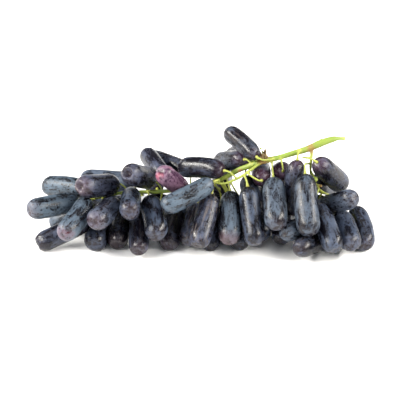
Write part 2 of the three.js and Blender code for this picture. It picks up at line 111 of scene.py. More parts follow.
def read_berry(name):
    """A berry's two ends, its bow and its radius, in millimetres.

    The bow is how far the middle of the waist stands off the straight line. The radius is the distance
    from the bowed line that 19 of 20 corners of the belly stay within.
    """
    corners, _ = corners_and_edges(name)
    middle = corners.mean(0)
    longest_way = np.linalg.svd(corners - middle, full_matrices=False)[2][0]
    along = (corners - middle) @ longest_way
    ends = [corners[along.argmin()], corners[along.argmax()]]
    ends.sort(key=lambda end: np.linalg.norm(stem_corners - end, axis=1).min())
    start, tip = ends
    way = tip - start
    length = np.linalg.norm(way)
    share = (corners - start) @ way / length**2
    waist = corners[(share > 0.35) & (share < 0.65)]
    bow = waist.mean(0) - (start + tip) / 2
    bow -= way * (bow @ way) / length**2
    offset = corners - start - share[:, None] * way - 4 * (share * (1 - share))[:, None] * bow
    belly = np.linalg.norm(offset[(share > 0.35) & (share < 0.8)], axis=1)
    radius = np.percentile(belly, 95)
    return {"name": name, "start": start, "tip": tip, "bow": bow, "radius": radius, "length": length}


berries = [read_berry(name) for name in berry_names]
for measure in ("radius", "length"):
    sizes = [berry[measure] for berry in berries]
    print(measure, round(min(sizes), 1), "to", round(max(sizes), 1), "mm")

# %% [markdown]
# No two berries in a bunch look alike. Each has seven numbers of its own: how much bloom it still wears,
# how far its dark skin leans to violet, how far red shows at its stem end, how tan its tip is, whether a
# red spot shows, how many corky streaks it has, and how deep its tip is dimpled. They were judged for the
# berries that stand out, and drawn at random, with a fixed seed, for the others.

# %% Choose each berry's own look
rng = np.random.default_rng(12)
BLOOM = {"ripe_skin": (0.26, 0.46), "dusty_skin": (0.5, 0.62), "blush_skin": (0.3, 0.45)}
LOOKS = {
    1: {"bloom": 0.64, "violet": 0.1},
    2: {"bloom": 0.68, "violet": 0.1, "tan": 0.5},
    3: {"bloom": 0.42, "violet": 0.6, "dimple": 1.9},
    5: {"bloom": 0.62, "violet": 0.15, "tan": 0.3, "spot": 0.25},
    7: {"bloom": 0.44, "violet": 0.6, "tan": 0.7, "dimple": 2.4},
    8: {"bloom": 0.6, "violet": 0.6, "tan": 0.5, "dimple": 1.3},
    10: {"bloom": 0.15},
    11: {"bloom": 0.4, "violet": 0.6, "dimple": 2.8},
    12: {"bloom": 0.5, "violet": 0.2, "tan": 0.3, "dimple": 1.2},
    13: {"bloom": 0.34, "tan": 0.3, "dimple": 1.3},
    14: {"bloom": 0.4, "violet": 0.2, "dimple": 1.2},
    15: {"bloom": 0.18},
    16: {"bloom": 0.42, "violet": 0.7},
    18: {"bloom": 0.6, "blush": 1.0, "spot": 1.0, "dimple": 0.9},
    19: {"bloom": 0.24, "violet": 0.5, "blush": 0.2},
    20: {"bloom": 0.6, "violet": 0.1},
    21: {"bloom": 0.35, "streaks": 0.9},
    22: {"bloom": 0.42, "streaks": 1.0},
    24: {"bloom": 0.46, "tan": 1.0, "dimple": 1.0},
    25: {"bloom": 0.4, "violet": 0.3},
    26: {"bloom": 0.46, "violet": 0.3},
    31: {"bloom": 0.28, "violet": 0.3},
    32: {"bloom": 0.42, "violet": 0.35},
    33: {"bloom": 0.42, "blush": 0.25},
    34: {"bloom": 0.42, "blush": 0.4},
    35: {"bloom": 0.36, "blush": 0.4},
    37: {"bloom": 0.5, "violet": 0.6, "blush": 0.28},
    39: {"bloom": 0.24, "violet": 0.5, "streaks": 0.5},
    40: {"bloom": 0.36, "violet": 0.6, "blush": 0.22},
    41: {"bloom": 0.56, "violet": 0.5, "blush": 0.22},
    42: {"bloom": 0.48, "violet": 0.3},
    43: {"bloom": 0.54, "violet": 0.3},
    44: {"bloom": 0.52, "violet": 0.4},
}
for number, berry in enumerate(berries, 1):
    low, high = BLOOM[slot_of[berry["name"]]]
    look = {
        "bloom": rng.uniform(low, high),
        "violet": rng.uniform(0.1, 0.6),
        "blush": rng.uniform(0.0, 0.15),
        "tan": rng.uniform(0, 0.25),
        "spot": 0.0,
        "streaks": rng.uniform(0, 0.35),
        "dimple": rng.uniform(0.3, 1.0),
    }
    berry["look"] = look | LOOKS.get(number, {})
print("mean bloom", round(np.mean([berry["look"]["bloom"] for berry in berries]), 2))

# %% [markdown]
# Every round piece here, a berry or a stretch of stem, is a stack of rings that is closed by a point at
# either end. Blender's own spheres and cylinders would have to be bent afterwards, so the points are
# worked out first and the faces follow from the rings' order alone. One function writes those faces and
# another turns points and faces into a piece.

# %% Grid faces and the mesh maker
BERRY_RINGS = 72
BERRY_SIDES = 56


def closed_faces(rings, sides):
    """Faces round a closed body: a fan at its first point, quads between rings, and a fan at its last."""
    column = np.arange(sides)
    beside = (column + 1) % sides
    ring = 1 + sides * np.arange(rings - 1)[:, None]
    quads = np.stack([ring + column, ring + beside, ring + sides + beside, ring + sides + column], -1)
    last = 1 + rings * sides
    end = last - sides
    first_fan = np.stack([np.zeros_like(column), 1 + beside, 1 + column], -1)
    last_fan = np.stack([np.full_like(column, last), end + column, end + beside], -1)
    return quads.reshape(-1, 4).tolist() + first_fan.tolist() + last_fan.tolist()


def new_piece(name, points, faces):
    """A smooth-shaded mesh object from points in millimetres, at the origin."""
    mesh = bpy.data.meshes.new(name)
    mesh.from_pydata((points * MM).tolist(), [], faces)
    mesh.shade_smooth()
    piece = bpy.data.objects.new(name, mesh)
    bpy.context.scene.collection.objects.link(piece)
    return piece


def add_attribute(piece, name, values, kind="FLOAT_COLOR"):
    """Stores one vector or colour for each point of the piece."""
    field = {"FLOAT_VECTOR": "vector", "FLOAT_COLOR": "color"}[kind]
    layer = piece.data.attributes.new(name, kind, "POINT")
    layer.data.foreach_set(field, np.ascontiguousarray(values, np.float32).ravel())


print("one berry has", len(closed_faces(BERRY_RINGS, BERRY_SIDES)), "faces")

# %% [markdown]
# This kind of grape is a long barrel: a rounded shoulder at the pedicel, a slightly slim neck, a fuller
# belly and a blunt tip. A stretched ball would be too pointed at both ends. So each end is a superellipse,
# which stays full for longer than a circle and then turns in quickly.

# %% Radius along a berry
SHOULDER_LENGTH, TIP_LENGTH = 1.5, 1.2  # how long the round ends are, in radii
BLUNTNESS = 2.3  # the superellipse's power, where 2 is a plain ellipse
NECK = 0.93  # the neck's radius as a share of the belly's
BELLY_AT = 0.62  # where the berry is fullest, as a share of its length


def berry_radius(share, length, radius):
    """Radius along the line: superelliptic round ends, over a quarter sine that swells from neck to belly."""

    def end(gone, whole):
        return (1 - np.clip(1 - gone / whole, 0, 1) ** BLUNTNESS) ** (1 / BLUNTNESS)

    ends = end(share * length, SHOULDER_LENGTH * radius) * end((1 - share) * length, TIP_LENGTH * radius)
    swell = NECK + (1 - NECK) * np.sin(np.pi / 2 * np.minimum(1, share / BELLY_AT))
    return radius * ends * swell


neck_waist_tip = berry_radius(np.array([0.15, 0.5, 0.95]), length=40, radius=8)
print("radius at the neck, waist and tip of an 8 mm berry:", np.round(neck_waist_tip, 1), "mm")

# %% [markdown]
# The skin's wear follows from where the berries lie. Bloom is a wax that rubs off where skins touch. The
# nearest point of every other mesh could be searched for, but a berry is almost a rod with round ends, so
# the distance to its line, less its radius, is as good and far quicker.

# %% Rubbed places
RUB_REACH = 1.3


def nearness(points, berry):
    """1 where another berry touches these points, falling off as a bell curve over RUB_REACH millimetres."""
    others = [other for other in berries if other is not berry]
    starts = np.array([o["start"] + unit(o["tip"] - o["start"]) * o["radius"] for o in others])
    tips = np.array([o["tip"] - unit(o["tip"] - o["start"]) * o["radius"] for o in others])
    radii = np.array([o["radius"] for o in others])
    ways = tips - starts
    share = np.einsum("pod,od->po", points[:, None] - starts, ways) / (ways**2).sum(1)
    nearest = starts + np.clip(share, 0, 1)[..., None] * ways
    gap = (np.linalg.norm(points[:, None] - nearest, axis=-1) - radii).min(1)
    return np.exp(-np.maximum(gap, 0) ** 2 / RUB_REACH**2)


touching_tips = sum(nearness(berry["tip"][None], berry)[0] > 0.5 for berry in berries)
print(touching_tips, "berries touch another with their tip")

# %% [markdown]
# A berry's surface is a function of two parameters: the share of its line, and the turn round it. Over the
# radius along the line go an oval section, soft lumps, a hollow where the pedicel sits and the dimple at
# the tip, with a scar where the flower dropped off. A deeper dimple widens the scar's dark mark, which
# paints shade into the dimple. The share runs as a cosine, so the rings lie closest at the ends, where the
# dimple needs them. All of it is worked out for the whole grid at once.

# %% Surface of a berry
box_mm = np.array(cad_box) / MM
OVAL, THREE_SIDED = 0.028, 0.009  # how far a section leaves the circle, in radii
SWAY, RIPPLE = 0.012, 0.006  # how far the sides wander along the berry, in radii
DIMPLE_DEPTH, DIMPLE_REACH = 1.25, 2.6  # a dimple of strength 1, in millimetres like all that follow
LIP_SHARE, LIP_AT, LIP_WIDTH = 0.2, 4.4, 1.3  # a low lip round the dimple, as a share of its depth
HOLLOW_DEPTH, HOLLOW_REACH = 0.35, 2.6  # the hollow round the pedicel
# The dark tip mark is the flower's scar, and a deeper dimple widens it into painted shade inside the dimple.
SCAR_AND_SHADE_REACH, DIMPLE_SHADE_GROWTH = 0.95, 0.35  # the scar, and what a deeper dimple adds to it
TABLE_SOFTNESS = 0.3  # how softly a skin flattens on the table
RINGS_BETWEEN_POLES = slice(1, -1)


def listed(grid):
    """A grid's values as one list: one for the first pole, those of the rings, one for the last pole."""
    rings = grid[RINGS_BETWEEN_POLES].reshape(-1, *grid.shape[2:])
    return np.concatenate([grid[:1, 0], rings, grid[-1:, 0]])


def berry_surface(berry):
    """The points of a fine berry, and what its skin needs at each: place on the berry, and marks.

    Point = spine(share) + radius(share) * lumps(share, turn) * (cos turn * side + sin turn * up), and the
    ends are pressed in along the line by bell curves, which makes the dimple and the pedicel's hollow.
    """
    start, tip, length, radius = (berry[key] for key in ("start", "tip", "length", "radius"))
    strength = berry["look"]["dimple"]
    way = unit(tip - start)
    side = unit(np.cross(way, [0.31, 0.85, 0.42]))
    up = np.cross(way, side)
    share = (1 - np.cos(np.pi * np.linspace(0, 1, BERRY_RINGS + 2))) / 2
    turn = np.linspace(0, 2 * np.pi, BERRY_SIDES, endpoint=False)
    share, turn = np.meshgrid(share, turn, indexing="ij")
    phases = rng.uniform(0, 2 * np.pi, 6)
    lumps = 1 + OVAL * np.cos(2 * turn + phases[0]) + THREE_SIDED * np.cos(3 * turn + phases[1] + 2 * share)
    lumps += SWAY * np.sin(5.5 * share + phases[2]) * np.cos(turn + phases[3])
    lumps += RIPPLE * np.sin(13 * share + phases[4]) * np.cos(2 * turn + phases[5])
    reach = berry_radius(share, length, radius) * lumps
    rim = 1 + 0.16 * np.cos(2 * turn + phases[3]) + 0.1 * np.cos(3 * turn + phases[4])
    lip = LIP_SHARE * np.exp(-(((reach - LIP_AT) / LIP_WIDTH) ** 2))
    pressed = np.exp(-((reach / (DIMPLE_REACH * rim)) ** 2)) - lip
    dimple = DIMPLE_DEPTH * strength * pressed * (share > 0.5)
    hollow = HOLLOW_DEPTH * np.exp(-((reach / HOLLOW_REACH) ** 2)) * (share < 0.5)
    room_for_lip = LIP_SHARE * DIMPLE_DEPTH * strength
    depth = share * (length - room_for_lip) - dimple + hollow
    spine = start + depth[..., None] * way + 4 * (share * (1 - share))[..., None] * berry["bow"]
    points = spine + reach[..., None] * (np.cos(turn)[..., None] * side + np.sin(turn)[..., None] * up)
    own = np.stack([reach * np.cos(turn), reach * np.sin(turn), share * length], -1)
    own += rng.uniform(0, 900, 3)
    # Dark mark at the tip: the flower's scar, plus painted shade that spreads over the dimple as it deepens.
    scar_and_dimple_shade = np.exp(-((reach / (SCAR_AND_SHADE_REACH + DIMPLE_SHADE_GROWTH * strength) / rim) ** 2)) * (share > 0.5)
    points, own, share, scar_and_dimple_shade = (listed(grid) for grid in (points, own, share, scar_and_dimple_shade))
    points[:, 2] = (points[:, 2] + np.sqrt(points[:, 2] ** 2 + TABLE_SOFTNESS**2)) / 2
    points = np.clip(points, *box_mm)
    marks = np.stack([share, nearness(points, berry), scar_and_dimple_shade, np.ones_like(share)], -1)
    return points, own, marks


print("points of one berry:", BERRY_RINGS * BERRY_SIDES + 2)

# %% [markdown]
# A material can tell one berry from the next in two ways: a copy of the material for each berry, or
# numbers stored on the mesh. Stored numbers keep one material for all.
# So each point holds its own place on the berry, in millimetres and moved by a random amount, the marks of
# its place, and the berry's own look.

# %% Make the berries
def make_berry(berry):
    """One berry as a piece, with its marks and its own look stored on its points."""
    points, own, marks = berry_surface(berry)
    piece = new_piece("skin_of_" + berry["name"], points, closed_faces(BERRY_RINGS, BERRY_SIDES))
    look = berry["look"]
    dress = [look[key] for key in ("bloom", "violet", "blush", "tan")]
    flaws = [look["spot"], look["streaks"], 0, 1]
    add_attribute(piece, "own_place", own, "FLOAT_VECTOR")
    add_attribute(piece, "marks", marks)
    add_attribute(piece, "dress", np.tile(dress, (len(points), 1)))
    add_attribute(piece, "flaws", np.tile(flaws, (len(points), 1)))
    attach(piece, "root")
    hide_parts(berry["name"])
    return piece, marks


made = [make_berry(berry) for berry in berries]
skins = [piece for piece, _ in made]
rubbed = np.mean([(marks[:, 1] > 0.5).mean() for _, marks in made])
print("rubbed share of the skins:", round(float(rubbed), 2))

# %% [markdown]
# The stem of a bunch is one woody thing with a few main branches: the stalk, which goes on as the rachis,
# and shorter branches that carry small groups of berries. Each is a curve through a few points, the same
# points that the solid was built on, in millimetres and with a radius as the fourth number.
# They are written in the stem's own frame, and the cut end of the stalk tells how that frame was moved.

# %% Points of the branches
BRANCHES = {
    "stalk": [
        [101, 4, 70, 1.5], [95.4, 3, 70.6, 1.5], [94, 2.8, 70.5, 2], [90, 2, 69.8, 2.5], [84, 1, 68, 2.8],
        [77, 0, 65, 2.6], [63, -1, 60.5, 2.1], [52, -2, 57.5, 2.1], [44, -2, 56, 2.8],
    ],
    "nub": [[85.5, 1.2, 68.5, 1.6], [84, 1, 71.3, 0.8]],
    "rachis": [
        [46, -2, 56.3, 2.5], [34, -1, 51, 2.3], [28, 0, 48, 2.2], [14, 0, 40, 2], [0, 0, 35, 1.8],
        [-22, 0, 31, 1.7], [-42, 0, 30, 1.6], [-58, 0, 29, 1.4], [-73, -2, 26, 1],
    ],
    "front": [
        [45, -2, 56, 1.9], [40, -5, 54, 1.6], [35, -8, 51.5, 1.5], [30, -10, 48.5, 1.5],
        [24, -11, 45.5, 1.4], [16, -12, 43, 1.2], [10, -12, 44, 1],
    ],
    "drop": [
        [77.5, 0, 65, 2], [77.5, -3, 60, 1.6], [77, -5, 55, 1.4], [77, -6, 49, 1.3], [79, -6, 42, 1.3],
        [83, -5, 35, 1.2], [90, -4, 30, 1.1], [99, -3, 26, 1],
    ],
    "twig": [[77.3, -4, 58.5, 1.3], [74, -4, 59.3, 1.1], [71, -3, 58.6, 1]],
    "back": [[45, -2, 56, 1.9], [43, 4, 53.5, 1.5], [39, 9, 50, 1.2], [34, 12, 46, 1]],
    "stub": [[78, -6, 43, 1.1], [81, -8, 40.5, 0.8], [83.4, -9.5, 40.2, 0.9], [84.6, -10.4, 40.4, 1.2]],
}
# The cut end is the middle of the rightmost corners of the stem's highest stretch.
high = stem_corners[stem_corners[:, 2] > 0.85 * stem_corners[:, 2].max()]
cut_end = high[high[:, 0] > high[:, 0].max() - 2.5].mean(0)
place = cut_end - BRANCHES["stalk"][0][:3]
print("the branches are moved by", np.round(place, 2), "mm")

# %% [markdown]
# Straight pieces between the points would show as kinks. A cubic Hermite curve passes through every point
# and bends smoothly, and because a point may hold any number of values, the radius is smoothed along with
# the place. The solid's tubes are thicker than the photograph's branches, so each branch is slimmed too.

# %% Smooth lines of the branches
BRANCH_STEP = 1.0
SLIM = {
    "stalk": 0.92, "nub": 1.0, "rachis": 0.84, "front": 0.64,
    "drop": 0.68, "twig": 0.66, "back": 0.8, "stub": 0.8,
}


def smooth_line(points, step):
    """A smooth curve through the points, any number of values each: cubic Hermite over chord length.

    Each point's slope is the mean of the slopes beside it, weighted by the other side's chord.
    """
    points = np.asarray(points, float)
    chord = np.linalg.norm(np.diff(points[:, :3], axis=0), axis=1)
    at = np.concatenate([[0], np.cumsum(chord)])
    slope = np.diff(points, axis=0) / chord[:, None]
    both_chords = (chord[:-1] + chord[1:])[:, None]
    inner = (slope[:-1] * chord[1:, None] + slope[1:] * chord[:-1, None]) / both_chords
    tangent = np.vstack([slope[:1], inner, slope[-1:]])
    where = np.linspace(0, at[-1], max(3, int(at[-1] / step) + 1))
    part = np.clip(np.searchsorted(at, where, side="right") - 1, 0, len(chord) - 1)
    u = ((where - at[part]) / chord[part])[:, None]
    h = chord[part][:, None]
    low, high = points[part], points[part + 1]
    return (
        (1 + 2 * u) * (1 - u) ** 2 * low + u * (1 - u) ** 2 * h * tangent[part]
        + u**2 * (3 - 2 * u) * high + u**2 * (u - 1) * h * tangent[part + 1]
    )


branch_lines = {
    name: smooth_line(points, BRANCH_STEP) * [1, 1, 1, SLIM[name]] + [*place, 0]
    for name, points in BRANCHES.items()
}
print({name: len(line) for name, line in branch_lines.items()}, "points on the branches")

# %% [markdown]
# A pedicel ends in a seat, a little cushion of tissue that carries the berry. The pedicels are found on
# the solid itself. From the middle of each seat a walk along the edges passes ring after ring of five
# corners, and the rings' middles are points of the pedicel's line. The walk ends where the rings do, at
# the branch, and the line goes on to the branch point that lies best on its way.

# %% Lines of the pedicels
RING_CORNERS = 5
PEDICEL_STEP = 0.45
SEAT_DEPTH = 0.15  # how far a seat goes into its berry
PEDICEL_RADIUS = 0.62
SEAT_SWELL, SEAT_LENGTH, SEAT_POWER = 0.62, 1.9, 1.3
ROOT_SWELL, ROOT_LENGTH = 0.35, 2.4
SIDESTEP_COST = 0.7  # how much a step off the pedicel's way counts beside the distance itself
neighbours = [[] for _ in stem_corners]
for one, other in stem_edges.tolist():
    neighbours[one].append(other)
    neighbours[other].append(one)
branch_points = np.vstack([line[:, :3] for line in branch_lines.values()])


def walk_rings(pole):
    """Middles of the rings of corners passed from the pole of a seat, until the pedicel's end."""
    seen = {pole}
    ring = [pole]
    middles = []
    while len(ring) in (1, RING_CORNERS):
        middles.append(stem_corners[ring].mean(0))
        ring = sorted({other for corner in ring for other in neighbours[corner]} - seen)
        seen.update(ring)
    return middles


def pedicel_line(berry):
    """Points from seat to root with a radius each.

    Radius = the slim middle + a swelling that fades away from the seat + one that fades away from the root.
    """
    pole = int(np.linalg.norm(stem_corners - berry["start"], axis=1).argmin())
    middles = walk_rings(pole)
    kept = [middles[0]] + middles[2:]
    last = kept[-1]
    before = kept[-2] if len(kept) > 1 else berry["tip"]
    way = unit(last - before)
    there = branch_points - last
    distance = np.linalg.norm(there, axis=1)
    aside = np.linalg.norm(there - (there @ way)[:, None] * way, axis=1)
    kept.append(branch_points[(distance + SIDESTEP_COST * aside).argmin()])
    kept[0] = berry["start"] - SEAT_DEPTH * unit(berry["start"] - berry["tip"])
    line = smooth_line(np.array(kept), PEDICEL_STEP)
    gone = np.concatenate([[0], np.cumsum(np.linalg.norm(np.diff(line, axis=0), axis=1))])
    left = gone[-1] - gone
    seat = SEAT_SWELL * np.exp(-((gone / SEAT_LENGTH) ** SEAT_POWER))
    root = ROOT_SWELL * np.exp(-left / ROOT_LENGTH)
    return np.column_stack([line, PEDICEL_RADIUS + seat + root])


pedicels = [pedicel_line(berry) for berry in berries]
pedicel_lengths = [len(pedicel) * PEDICEL_STEP for pedicel in pedicels]
print("pedicels of", round(min(pedicel_lengths)), "to", round(max(pedicel_lengths)), "mm")

# %% [markdown]
# The tubes are round profiles carried along these lines. A stem grew as one body, so its tubes are then
# melted together: a voxel remesh turns the crossing tubes into one skin. A grid surface can't fork, which
# is why this one piece isn't left as grids, and a Boolean union would leave sharp creases at the forks.

# %% Carry round profiles along the lines and melt them
TUBE_SIDES = 14
VOXEL = 0.42


def carried(line, sides=TUBE_SIDES):
    """Points of a tube round the line: its first point, a ring round each point, its last point.

    Point = line + radius * (cos turn * side + sin turn * up), with side and up square to the line.
    """
    path, radius = line[:, :3], line[:, 3]
    ahead = unit(np.gradient(path, axis=0))
    reference = np.eye(3)[np.abs(ahead.mean(0)).argmin()]
    side = unit(reference - (ahead @ reference)[:, None] * ahead)
    up = np.cross(ahead, side)
    turn = np.linspace(0, 2 * np.pi, sides, endpoint=False)
    spokes = np.cos(turn)[:, None] * side[:, None] + np.sin(turn)[:, None] * up[:, None]
    rings = path[:, None] + radius[:, None, None] * spokes
    return np.vstack([path[:1], rings.reshape(-1, 3), path[-1:]]), closed_faces(len(path), sides)


def joined(bodies):
    """Several bodies' points and faces as one list of each."""
    points, faces, count = [], [], 0
    for body_points, body_faces in bodies:
        points.append(body_points)
        faces += [[corner + count for corner in face] for face in body_faces]
        count += len(body_points)
    return np.vstack(points), faces


lines = [*branch_lines.values(), *pedicels]
tubes = new_piece("stem_tubes", *joined([carried(line) for line in lines]))
melt = tubes.modifiers.new("melt", "REMESH")
melt.mode = "VOXEL"
melt.voxel_size = VOXEL * MM
bpy.context.view_layer.update()
melted = bpy.data.meshes.new_from_object(tubes.evaluated_get(bpy.context.evaluated_depsgraph_get()))
bpy.data.objects.remove(tubes)
print("melted stem:", len(melted.vertices), "points")

# %% [markdown]
# A remeshed skin is stepped like a pile of small cubes. It is softened in numpy: each point moves half way
# to the middle of its neighbours, and after every such step a slightly longer step back keeps the stem
# from growing thin. Blender's Smooth modifier has only the first of these steps, and would wear the
# pedicels away.

# %% Soften the melted stem
SOFTENING_ROUNDS = 8
FORTH_AND_BACK = (0.5, -0.53)


def softened(points, edges, rounds):
    """Points after rounds of smoothing: some way to the neighbours' mean, then a little more away from it."""
    count = np.bincount(edges.ravel(), minlength=len(points))[:, None]
    for _ in range(rounds):
        for share in FORTH_AND_BACK:
            total = np.zeros_like(points)
            for axis in range(3):
                total[:, axis] = np.bincount(edges[:, 0], points[edges[:, 1], axis], len(points))
                total[:, axis] += np.bincount(edges[:, 1], points[edges[:, 0], axis], len(points))
            points = points + share * (total / count - points)
    return points


melted_points = np.empty(3 * len(melted.vertices), np.float32)
melted.vertices.foreach_get("co", melted_points)
melted_points = melted_points.reshape(-1, 3).astype(float) / MM
pairs = np.empty(2 * len(melted.edges), np.int32)
melted.edges.foreach_get("vertices", pairs)
stem_points = np.clip(softened(melted_points, pairs.reshape(-1, 2), SOFTENING_ROUNDS), *box_mm)
melted.vertices.foreach_set("co", (stem_points * MM).astype(np.float32).ravel())
melted.name = "stem_skin"
melted.shade_smooth()
stem = bpy.data.objects.new("stem_skin", melted)
bpy.context.scene.collection.objects.link(stem)
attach(stem, "root")
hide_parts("stem")
print("stem spans", np.round(np.ptp(stem_points, axis=0)), "mm")

# %% [markdown]
# A stem is green at the stalk and yellower towards the pedicels, and its joints turn brown as they grow
# woody. These marks could be painted by hand. They are measured instead: for every point of the stem the
# nearest point of the lines says which part it belongs to, and the distances to the joints, the seats and
# the cut end say how woody, warty or fresh it is. The distances are taken in blocks to spare memory.

# %% Mark the stem's young and woody parts
JOINTS = np.array([
    [44, -2, 56], [77.5, 0, 64.5], [28, -2, 47.5], [78.5, -6, 42.5], [84.6, -10.4, 40.4],
]) + place
JOINT_REACH = np.array([4.8, 4.4, 2.2, 2.4, 2.4])
SEAT_REACH = 2.0
CUT_REACH = 3.0
BLOCKS = 60
YOUTH = {
    "stalk": 0.0, "nub": 0.0, "rachis": 0.15, "front": 0.6,
    "drop": 0.75, "twig": 0.8, "back": 0.6, "stub": 1.0,
}
PEDICEL_YOUTH = 0.8
line_points = np.vstack([line[:, :3] for line in lines])
youths = [YOUTH[name] for name in branch_lines] + [PEDICEL_YOUTH] * len(pedicels)
line_youth = np.repeat(youths, [len(line) for line in lines])
squares = (line_points**2).sum(1)
nearest = np.concatenate([
    (squares - 2 * block @ line_points.T).argmin(1) for block in np.array_split(stem_points, BLOCKS)
])
to_joint = np.linalg.norm(stem_points[:, None] - JOINTS, axis=-1)
woody = np.exp(-((to_joint / JOINT_REACH) ** 2)).max(1)
seats = np.array([berry["start"] for berry in berries])
to_seat = np.sqrt(((stem_points[:, None] - seats) ** 2).sum(-1).min(1))
warty = np.exp(-((to_seat / SEAT_REACH) ** 2))
to_cut = np.linalg.norm(stem_points - cut_end, axis=1)
cut = np.exp(-((to_cut / CUT_REACH) ** 2))
add_attribute(stem, "growth", np.stack([line_youth[nearest], woody, warty, cut], -1))
print("woody share:", round(float((woody > 0.5).mean()), 3))

# %% [markdown]
# A shot berry is a flower that set but never grew: a hard green ball on a thin stalk. One hangs on the
# lower branch, and a much smaller one stands above the main joint. A ball could be Blender's sphere. Here
# it is a tube whose radius runs as a half circle, so the tube function makes ball and stalk alike.

# %% Shot berry
SHOT_BERRY = np.array([80, -13, 47]) + place
SHOT_ROOT = np.array([77.1, -6, 50]) + place
SHOT_RADIUS = 1.85
SPECK = np.array([42.2, -4, 66.5]) + place
SPECK_ROOT = np.array([43, -3, 58]) + place
SPECK_RADIUS = 0.75
BALL_STRETCH = 1.08
STALK_STEP = 0.4


def small_ball(centre, radius, stalk_way):
    """A slightly long ball: rings whose radius is the sine of the way from pole to pole."""
    angle = np.pi * np.linspace(0, 1, 26)[1:-1]
    axis = centre - np.outer(BALL_STRETCH * radius * np.cos(angle), stalk_way)
    points, faces = carried(np.column_stack([axis, radius * np.sin(angle)]), 24)
    points[0] = centre - BALL_STRETCH * radius * stalk_way
    points[-1] = centre + BALL_STRETCH * radius * stalk_way
    return points, faces


def thin_stalk(root, end, bend, radii):
    """A smooth line from root to end with its middle moved by the bend, and a radius at each of the three."""
    stations = [root, (root + end) / 2 + bend, end]
    return smooth_line(np.column_stack([stations, radii]), STALK_STEP)


trimmings = new_piece("shot_berry", *joined([
    small_ball(SHOT_BERRY, SHOT_RADIUS, unit(SHOT_ROOT - SHOT_BERRY)),
    carried(thin_stalk(SHOT_ROOT, SHOT_BERRY, [0, 0, 0.5], [0.75, 0.5, 0.8]), 10),
    small_ball(SPECK, SPECK_RADIUS, unit(SPECK_ROOT - SPECK)),
    carried(thin_stalk(SPECK_ROOT, SPECK, [0.7, 0, 0], [0.45, 0.25, 0.3]), 8),
]))
GROWTH = [0.35, 0.0, 0.0, 0.0]  # rather young, not woody, no seat, no cut
add_attribute(trimmings, "growth", np.tile(GROWTH, (len(trimmings.data.vertices), 1)))
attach(trimmings, "root")
print("shot berry:", len(trimmings.data.vertices), "points")

# %% [markdown]
# At the main joint a few dry brown bracts stand up, thin curled scales that once covered the bud. Leaf
# planes with a picture are the usual short cut, but they look flat from the side. Each bract is a small
# grid that bends along a circle and cups across its width, and a Solidify modifier gives it its thickness.

# %% Bracts
BRACT_COUNT = 16
BRACT_RINGS, BRACT_COLUMNS = 12, 7
BRACT_THICKNESS = 0.25
ROOT_OUT, ROOT_UP = 1.8, 1.2  # how far out of the joint's middle, and above it, a bract starts


def bract(root, way, side, length, width, curl):
    """A curled scale: a strip whose width tapers as a half ellipse and which bends along a circle.

    Point = root + forward * way + lift * out + across * side. Forward and lift follow a circle, lift also
    grows with the square of v, which cups the scale, and across is v times half the width at u.
    """
    u, v = np.meshgrid(np.linspace(0, 1, BRACT_RINGS), np.linspace(-1, 1, BRACT_COLUMNS), indexing="ij")
    out = np.cross(way, side)
    angle = curl * u
    forward = length * np.sin(angle) / curl
    lift = length * (1 - np.cos(angle)) / curl + 0.5 * width * v**2
    across = v * width / 2 * np.sqrt(np.clip(1 - u**2, 0.02, 1)) * (1 + 0.15 * np.sin(9 * u + 4 * v))
    points = root + forward[..., None] * way + lift[..., None] * out + across[..., None] * side
    index = np.arange(BRACT_RINGS * BRACT_COLUMNS).reshape(BRACT_RINGS, BRACT_COLUMNS)
    faces = np.stack([index[:-1, :-1], index[1:, :-1], index[1:, 1:], index[:-1, 1:]], -1).reshape(-1, 4)
    return points.reshape(-1, 3), faces.tolist()


def drawn_bract(turn):
    """A bract of random tilt, length, width and curl that leaves the joint at this turn."""
    tilt = rng.uniform(0.3, 1.4)
    outward = np.array([math.cos(turn), math.sin(turn), 0])
    way = unit(outward * math.sin(tilt) + np.array([0, 0, math.cos(tilt)]))
    side = unit(np.cross(way, outward + [0.1, 0.2, 0.1]))
    root = JOINTS[0] + [0, 0, ROOT_UP] + ROOT_OUT * outward
    length, width, curl = rng.uniform(3, 6.5), rng.uniform(1.4, 3), rng.uniform(0.6, 1.6)
    return bract(root, way, side, length, width, curl)


turns = np.linspace(0, 2 * np.pi, BRACT_COUNT, endpoint=False)
bracts = new_piece("bracts", *joined([drawn_bract(turn) for turn in turns]))
thickness = bracts.modifiers.new("thickness", "SOLIDIFY")
thickness.thickness = BRACT_THICKNESS * MM
thickness.offset = 0
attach(bracts, "root")
print("bracts:", len(turns))

# %% [markdown]
# Materials are built from nodes. Colours are written as in a paint program, in sRGB, and one function
# turns them to the linear values that a shader needs. One more function adds a node with its settings
# and links, and hands back one of its outputs, so that a material reads as a list of steps.

# %% Colour and node helpers
def linear(code):
    """Linear RGBA of an sRGB hex colour: the low end is a straight line, the rest a power of 2.4."""
    parts = np.array([int(code[i:i + 2], 16) for i in (1, 3, 5)]) / 255
    parts = np.where(parts <= 0.04045, parts / 12.92, ((parts + 0.055) / 1.055) ** 2.4)
    return (*parts.tolist(), 1.0)


def node(tree, kind, inputs=None, output=0, **settings):
    """Adds a shader node and returns one of its outputs.

    Inputs are numbers, hex colours or other nodes' outputs, by the input's name or number.
    """
    added = tree.nodes.new("ShaderNode" + kind)
    for name, value in settings.items():
        setattr(added, name, value)
    for name, value in (inputs or {}).items():
        if isinstance(value, bpy.types.NodeSocket):
            tree.links.new(value, added.inputs[name])
        else:
            added.inputs[name].default_value = linear(value) if isinstance(value, str) else value
    return added.outputs[output] if len(added.outputs) else None


COLOUR_MIX = {"data_type": "RGBA", "output": 2}
SMOOTH_STEP = {"interpolation_type": "SMOOTHSTEP"}
print("white is", linear("#ffffff"))

